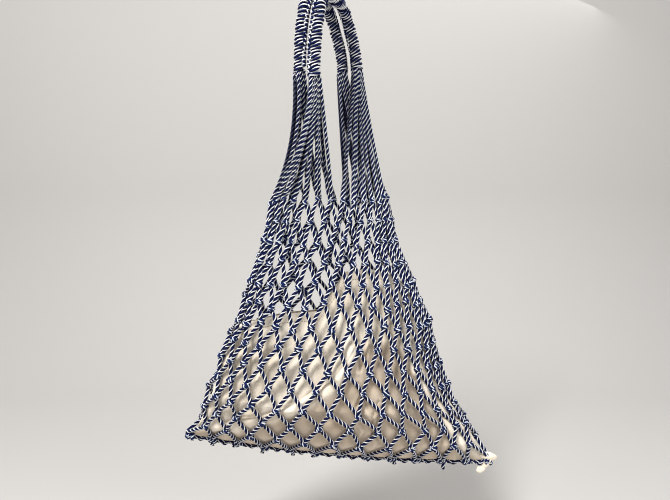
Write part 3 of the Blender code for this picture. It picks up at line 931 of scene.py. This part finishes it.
# pouch: soft cotton bag inside the net
pouch = {
    "clear": 5.4,  # millimetres inside the net's middle surface
    "least": 3.2,  # and never nearer than this under the cords
    "endClear": 8.5,  # and at the net's two ends
    "edge": 1.6,  # half thickness of its closed edges
    "thinnest": 0.3,
    "mouthGap": 3.2,  # half opening of its mouth
    "closing": 4.5,  # the higher this power, the later front and back come together
    "lowestRow": 12.98,
    "highestRow": 3.0,
    "searchSteps": 14,
    "rowPitch": 26.0,
    "levels": 136,
    "levelPower": 1.15,  # levels lie closer together towards the mouth
    "innerLevels": 16,
    "samples": 190,
    "foldRounding": (3.0, 7, 5),  # depth of its rounded folds, and rings outside and inside
    "meshRoom": 5.0,  # how much further out cloth may stand in a mesh than under the cords
    "meshPower": 0.7,
    "lowPush": 4.0,  # how far the cloth swells out through the lowest meshes
    "highPush": 1.2,  # and through the upper ones
    "pushFrom": (0.22, 0.5),  # shares of its height between which that changes
    "pushUneven": 0.25,
    "hem": 9.0,
    "hemGroove": 0.9,
    "grooveWidth": 1.6,
    "hemThick": 0.5,
    "wall": 0.9,
    "insideDepth": 0.2,  # share of its height down which it is open
    "weld": 0.03 * mm,
    "fill": 0.4,
    # the mouth's line: points across and up
    "mouth": (
        *((-130, -402), (-64, -388), (-19, -387), (5, -354), (15, -337), (46, -335)),
        *((66, -338), (90, -350), (115, -372), (127, -402), (144, -442)),
    ),
    # the corner of the cloth that shows past the net's end: middle, half length, half
    # thickness in millimetres and lean in radians
    "puffDepth": 0.8,  # from front to back, as a share of its thickness
    "puffNames": ("x", "y", "z", "long", "thick", "lean"),
    "puffs": (
        (222, -1, -606, 13.0, 5.6, -0.20),
        (212, -2, -626, 7.0, 5.2, 0.6),
        (221, -1, -615, 14.0, 5.4, 0.95),
    ),
    # creases on the front, drawn one by one: depth (less than 0 is a raised roll), width, side of
    # its soft shoulder, then points across and up, all in millimetres
    "creases": (
        (2.6, 2.4, 1, ((-106, -408), (-106, -423), (-108, -454), (-111, -487))),
        (2.4, 2.2, 1, ((-93, -412), (-93, -426), (-96, -454), (-99, -466))),
        (1.6, 2.6, -1, ((-85, -461), (-91, -493))),
        (1.8, 1.8, -1, ((-83, -433), (-70, -428), (-62, -427))),
        (-4.2, 8.5, 0, ((-150, -548), (-133, -537), (-96, -527), (-69, -514), (-44, -503))),
        (-4.2, 7.5, 0, ((-44, -503), (-17, -489), (2, -476), (18, -455), (26, -430))),
        (2.8, 2.0, -1, ((-148, -538), (-133, -527), (-96, -518), (-69, -505), (-50, -498))),
        (2.4, 2.0, -1, ((-44, -495), (-29, -484), (-17, -478), (-4, -469), (12, -452))),
        (1.8, 1.8, 1, ((5, -463), (18, -447), (28, -430))),
        (2.2, 2.2, 1, ((16, -419), (24, -405), (31, -392))),
        (3.4, 2.2, -1, ((33, -410), (37, -434), (38, -441), (35, -457))),
        (2.6, 2.6, 1, ((44, -424), (40, -444))),
        (3.0, 2.2, -1, ((32, -475), (39, -487), (36, -496), (31, -506))),
        (2.4, 2.0, 1, ((45, -472), (39, -487))),
        (2.8, 2.2, -1, ((43, -503), (53, -518), (52, -530))),
        (2.4, 2.0, 1, ((60, -500), (53, -518))),
        (2.6, 2.2, -1, ((35, -529), (44, -542), (37, -558))),
        (2.6, 2.2, -1, ((54, -548), (64, -562), (58, -577))),
        (-4.5, 8.0, 0, ((70, -361), (75, -396), (84, -417), (97, -441), (112, -468))),
        (-4.5, 8.0, 0, ((112, -468), (128, -500), (141, -522), (160, -554), (178, -588))),
        (6.5, 20.0, 0, ((62, -400), (76, -436), (94, -468), (106, -500), (118, -535))),
        (4.0, 14.0, 0, ((-60, -430), (-40, -455), (-62, -480))),
        (3.5, 13.0, 0, ((0, -395), (8, -420), (-8, -445))),
        (3.5, 12.0, 0, ((-20, -520), (12, -522), (28, -500))),
    ),
    # painted shade on the cloth below this line: points across and up
    "paintedShadeBelow": (
        *((-150, -556), (-96, -533), (-44, -508), (2, -482), (26, -446), (46, -425)),
        *((84, -425), (97, -446), (112, -473), (128, -505), (160, -559), (180, -600)),
    ),
    # the height over which the painted shade comes in below that line
    "paintedShadeEdge": 9 * mm,
    "foldNames": ("across", "up", "lean", "width", "height", "depth", "face"),
    # share across and up, slant, width, height, depth in millimetres, and 1 front or -1 back
    "folds": (
        (0.30, 0.75, 0.12, 0.050, 0.32, 2.0, 1),
        (0.17, 0.45, 0.12, 0.050, 0.32, 2.0, 1),
        (0.10, 0.35, 0.10, 0.012, 0.25, 1.6, 1),
        (0.44, 0.50, 0.22, 0.010, 0.18, 1.4, 1),
        (0.75, 0.62, -0.10, 0.009, 0.20, 1.8, 1),
        (0.90, 0.40, 0.16, 0.010, 0.25, 1.6, 1),
        (0.58, 0.85, 0.25, 0.012, 0.10, 2.0, 1),
        (0.66, 0.86, -0.20, 0.010, 0.10, 1.8, 1),
        (0.35, 0.55, 0.15, 0.045, 0.30, 3.0, -1),
        (0.62, 0.45, -0.12, 0.050, 0.32, 3.2, -1),
        (0.80, 0.50, 0.10, 0.030, 0.28, 2.4, -1),
        (0.20, 0.40, 0.18, 0.030, 0.28, 2.2, -1),
        (0.48, 0.60, 0.12, 0.012, 0.22, 2.2, -1),
    ),
}


def pouchPlace(share, up):
    # walks down the net until its level there meets the wanted height
    mouth = np.array(pouch["mouth"], float)
    low = sectionAt(np.full_like(share, pouch["lowestRow"]))
    row = np.full_like(share, pouch["lowestRow"])
    for _ in range(pouch["searchSteps"]):
        at = sectionAt(row)
        left, right = at["xl"] + pouch["endClear"], at["xr"] - pouch["endClear"]
        x = left + (right - left) * share
        across = (x - at["xl"]) / (at["xr"] - at["xl"])
        lowZ = low["zl"] + (low["zr"] - low["zl"]) * across + low["sag"] * 4 * across * (1 - across)
        z = lowZ + (np.interp(x, mouth[:, 0], mouth[:, 1]) - lowZ) * up
        level = at["zl"] + (at["zr"] - at["zl"]) * across + at["sag"] * 4 * across * (1 - across)
        row = np.clip(row + (level - z) / pouch["rowPitch"], pouch["highestRow"], pouch["lowestRow"])
    return at, across, x, z, row, lowZ


def meshSwell(at, across, row, face):
    # 0 under the cords and 1 in the middle of each mesh
    grid = np.linspace(0, 1, 240)
    flat = np.clip((row - (rows - 2)) / 2, 0, 1)
    side = (1 - flat) * np.interp(across, acrossShare(grid), grid) + flat * across
    frontColumns = at["right"] - at["left"]
    turn = side * frontColumns if face > 0 else -side * (columns - frontColumns)
    column = at["left"] + turn
    first = np.sin(np.pi * (column - row / 2 - 0.5)) ** 2
    second = np.sin(np.pi * (column + row / 2 - 0.5)) ** 2
    return (first * second) ** pouch["meshPower"]


def foldDip(share, up, face):
    # valleys with soft shoulders, a little sharper in the middle
    dip = np.zeros_like(share)
    for values in pouch["folds"]:
        fold = dict(zip(pouch["foldNames"], values))
        if fold["face"] == face:
            rise = up - fold["up"]
            run = np.abs(share - fold["across"] - fold["lean"] * rise) / fold["width"]
            dip += fold["depth"] * np.exp(-run**1.6 - (rise / fold["height"]) ** 2)
    return dip


def creaseDip(x, z):
    # the nearest stretch of each drawn line gives how far off it a place is, and on which side
    dip = np.zeros_like(x)
    for depth, width, side, line in pouch["creases"]:
        line = np.array(line, float)
        start, reach = line[:-1], np.diff(line, axis=0)
        offX, offZ = x[..., None] - start[:, 0], z[..., None] - start[:, 1]
        length = np.sum(reach**2, axis=1)
        share = np.clip((offX * reach[:, 0] + offZ * reach[:, 1]) / length, 0, 1)
        gapX, gapZ = offX - share * reach[:, 0], offZ - share * reach[:, 1]
        away = np.hypot(gapX, gapZ)
        turn = np.sign(reach[:, 0] * gapZ - reach[:, 1] * gapX)
        nearest = np.argmin(away, axis=-1)[..., None]
        away = np.take_along_axis(away, nearest, -1)[..., 0]
        turn = np.take_along_axis(turn, nearest, -1)[..., 0]
        dip += depth * np.exp(-((away / width) ** 2))
        shoulder = np.exp(-(((away * turn * side - 2 * width) / (1.4 * width)) ** 2))
        dip -= abs(side) * 0.5 * depth * shoulder
    return dip


def pouchSide(share, up, face, thinner=0.0):
    at, across, x, z, row, lowZ = pouchPlace(share, up)
    power = netShape["power"]
    bulge = np.clip(1 - np.abs(2 * across - 1) ** power, 0, 1) ** (1 / power)
    middle = at["yl"] + (at["yr"] - at["yl"]) * across
    closing = np.sqrt(np.clip(1 - up ** pouch["closing"], 0, 1))
    reach = at["front"] if face > 0 else at["back"]
    push = np.interp(up, pouch["pushFrom"], (pouch["lowPush"], pouch["highPush"]))
    uneven = np.sin(9.0 * share + 5.0 * up) * np.sin(23.0 * share - 3.0 * up)
    push = push * (1 + pouch["pushUneven"] * uneven)
    swell = push * meshSwell(at, across, row, face)
    folds = foldDip(share, up, face) + (creaseDip(x, z) if face > 0 else 0)
    # under the cords the cloth stays clear, and in the meshes a fold may stand out further
    least = pouch["least"] - pouch["meshRoom"] * meshSwell(at, across, row, face)
    inward = np.maximum(pouch["clear"] + folds - swell, least)
    out = (reach * bulge - inward) * closing
    gap = pouch["edge"] + pouch["mouthGap"] * np.sin(np.pi * share) * up**6
    below = (1 - up) * np.maximum(np.interp(x, *np.array(pouch["mouth"], float).T) - lowZ, 1)
    hem = pouch["hemThick"] * (below < pouch["hem"])
    groove = pouch["hemGroove"] * np.exp(-(((below - pouch["hem"]) / pouch["grooveWidth"]) ** 2))
    out = np.sqrt(np.maximum(out, 0) ** 2 + gap**2) + hem - groove - thinner
    y = middle - face * np.maximum(out, pouch["thinnest"])
    return np.stack((x, y, z), axis=-1), np.stack((x, below), axis=-1) * mm


def pouchRings(ups, thinner):
    share, up = np.meshgrid(np.linspace(0, 1, pouch["samples"]), ups, indexing="xy")
    front, frontUv = pouchSide(share, up, 1, thinner)
    back, backUv = pouchSide(share, up, -1, thinner)
    points = np.concatenate((front, back[:, ::-1]), axis=1)
    uv = np.concatenate((frontUv, backUv[:, ::-1]), axis=1)
    return points, uv


def closeRings(ring, ringUv, drop, count):
    # rounds a ring down to its middle line in a quarter circle
    half = pouch["samples"]
    middle = (ring[:half] + ring[half:][::-1]) / 2
    middle = np.concatenate((middle, middle[::-1]))
    angle = np.linspace(0, np.pi / 2, count)[1:, None, None]
    points = middle + (ring - middle) * np.cos(angle) + np.array((0, 0, -drop)) * np.sin(angle)
    return points, np.repeat(ringUv[None], count - 1, axis=0)


def roundPuff(values):
    # an ellipsoid, leant over in the bag's plane, with a few soft wrinkles
    puff = dict(zip(pouch["puffNames"], values))
    fromTip = np.linspace(0, np.pi, 15)[:, None]
    girth = np.linspace(0, 2 * np.pi, 29)[None, :]
    wrinkle = 0.07 * np.sin(3 * girth + 4 * fromTip) + 0.04 * np.sin(5 * girth - 3 * fromTip)
    wrinkle = 1 + wrinkle * np.sin(fromTip) ** 2
    long = -puff["long"] * np.cos(fromTip) * wrinkle
    thick = puff["thick"] * np.sin(fromTip) * wrinkle
    wide, deep = thick * np.cos(girth), thick * pouch["puffDepth"] * np.sin(girth)
    lean = puff["lean"]
    x = puff["x"] + long * math.cos(lean) + wide * math.sin(lean)
    z = puff["z"] + long * math.sin(lean) - wide * math.cos(lean)
    points = np.stack(np.broadcast_arrays(x, puff["y"] + deep, z), axis=-1)
    uv = np.stack(np.broadcast_arrays(x, z), axis=-1) * mm
    return gridSurface(points * mm, uv - (0, 1), False)


def buildPouch():
    ups = 1 - (1 - np.linspace(0, 1, pouch["levels"])) ** pouch["levelPower"]
    outer, outerUv = pouchRings(ups, 0.0)
    innerUps = np.linspace(1, 1 - pouch["insideDepth"], pouch["innerLevels"])
    inner, innerUv = pouchRings(innerUps, pouch["wall"])
    drop, outerCount, innerCount = pouch["foldRounding"]
    bottom, bottomUv = closeRings(outer[0], outerUv[0], drop, outerCount)
    floor, floorUv = closeRings(inner[-1], innerUv[-1], drop, innerCount)
    points = np.concatenate((bottom[::-1], outer, inner, floor)) * mm
    uv = np.concatenate((bottomUv[::-1], outerUv, innerUv, floorUv))
    uv = np.concatenate((uv, uv[:, :1]), axis=1)
    parts = [gridSurface(points, uv, True)] + [roundPuff(values) for values in pouch["puffs"]]
    # painted shade: none above the line, full this far below it
    line = np.array(pouch["paintedShadeBelow"]) * mm
    deep = (np.interp(points[..., 0], line[:, 0], line[:, 1]) - points[..., 2]) / pouch["paintedShadeEdge"]
    parts[0]["shade"] = np.clip(deep, 0, 1).ravel()
    made = makeObject("cottonPouch", parts, creamCotton, weld=pouch["weld"])
    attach(made, "root")
    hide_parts("pouch")


buildPouch()
print("pouch made")


# floor, light and camera
studio = {
    "pixelBlur": 1.0,  # a sharp lens, in pixels
    "floorZ": -0.80,
    "frontY": -4.0,
    "backY": 1.1,
    "wallTop": 3.4,
    "halfWidth": 4.5,
    "curve": 0.5,
    "curveSteps": 25,
    "colour": "#cdcac6",
    "roughness": 0.95,
    "lens": 30.09,
    "sensor": 36.0,
    "cameraAt": (0.0025, -0.740, -0.1756),
    "cameraTilt": 79.97,
    "names": ("name", "place", "target", "size", "power"),
    "lights": (
        ("key", (-0.66, -1.00, 1.20), (0, 0, -0.38), 0.48, 46.0),
        ("fill", (1.15, -0.9, 0.35), (0, 0, -0.35), 0.9, 9.0),
        ("rim", (0.35, 0.95, 0.6), (0, 0, -0.3), 0.9, 6.0),
    ),
    "sky": 0.33,
    "skyColour": (0.95, 0.97, 1.0, 1.0),
}


def buildStage():
    # a level floor that turns up into a back wall through a quarter circle
    curve, back = studio["curve"], studio["backY"]
    angle = np.linspace(0, np.pi / 2, studio["curveSteps"])
    y = np.concatenate(([studio["frontY"]], back - curve + curve * np.sin(angle), [back]))
    z = np.concatenate(([0.0], curve - curve * np.cos(angle), [studio["wallTop"]])) + studio["floorZ"]
    x = np.linspace(-studio["halfWidth"], studio["halfWidth"], 3)
    points = np.stack(np.broadcast_arrays(x[None], y[:, None], z[:, None]), axis=-1)
    finish = {"Roughness": studio["roughness"], "Base Color": linear(studio["colour"])}
    paint = newMaterial("pale matt paint", finish)[0]
    made = makeObject("floor", [gridSurface(points, points[..., :2], False)], paint)


def addLight(values):
    light = dict(zip(studio["names"], values))
    data = bpy.data.lights.new(light["name"], "AREA")
    data.size = light["size"]
    data.energy = light["power"]
    made = bpy.data.objects.new(light["name"], data)
    bpy.context.scene.collection.objects.link(made)
    made.location = light["place"]
    toward = np.array(light["target"]) - np.array(light["place"])
    flat = math.hypot(toward[0], toward[1])
    made.rotation_euler = (
        math.pi / 2 + math.atan2(toward[2], flat),
        0.0,
        math.atan2(toward[1], toward[0]) - math.pi / 2,
    )


buildStage()
for values in studio["lights"]:
    addLight(values)
world = bpy.data.worlds.new("studio")
world.use_nodes = True
world.node_tree.nodes["Background"].inputs["Color"].default_value = studio["skyColour"]
world.node_tree.nodes["Background"].inputs["Strength"].default_value = studio["sky"]
bpy.context.scene.world = world
bpy.context.scene.cycles.filter_width = studio["pixelBlur"]
bpy.context.scene.view_settings.view_transform = "Standard"
lens = bpy.data.cameras.new("camera")
lens.lens = studio["lens"]
lens.sensor_width = studio["sensor"]
camera = bpy.data.objects.new("camera", lens)
camera.location = studio["cameraAt"]
camera.rotation_euler = (math.radians(studio["cameraTilt"]), 0.0, 0.0)
bpy.context.scene.collection.objects.link(camera)
bpy.context.scene.camera = camera
print("floor, lights and camera set")
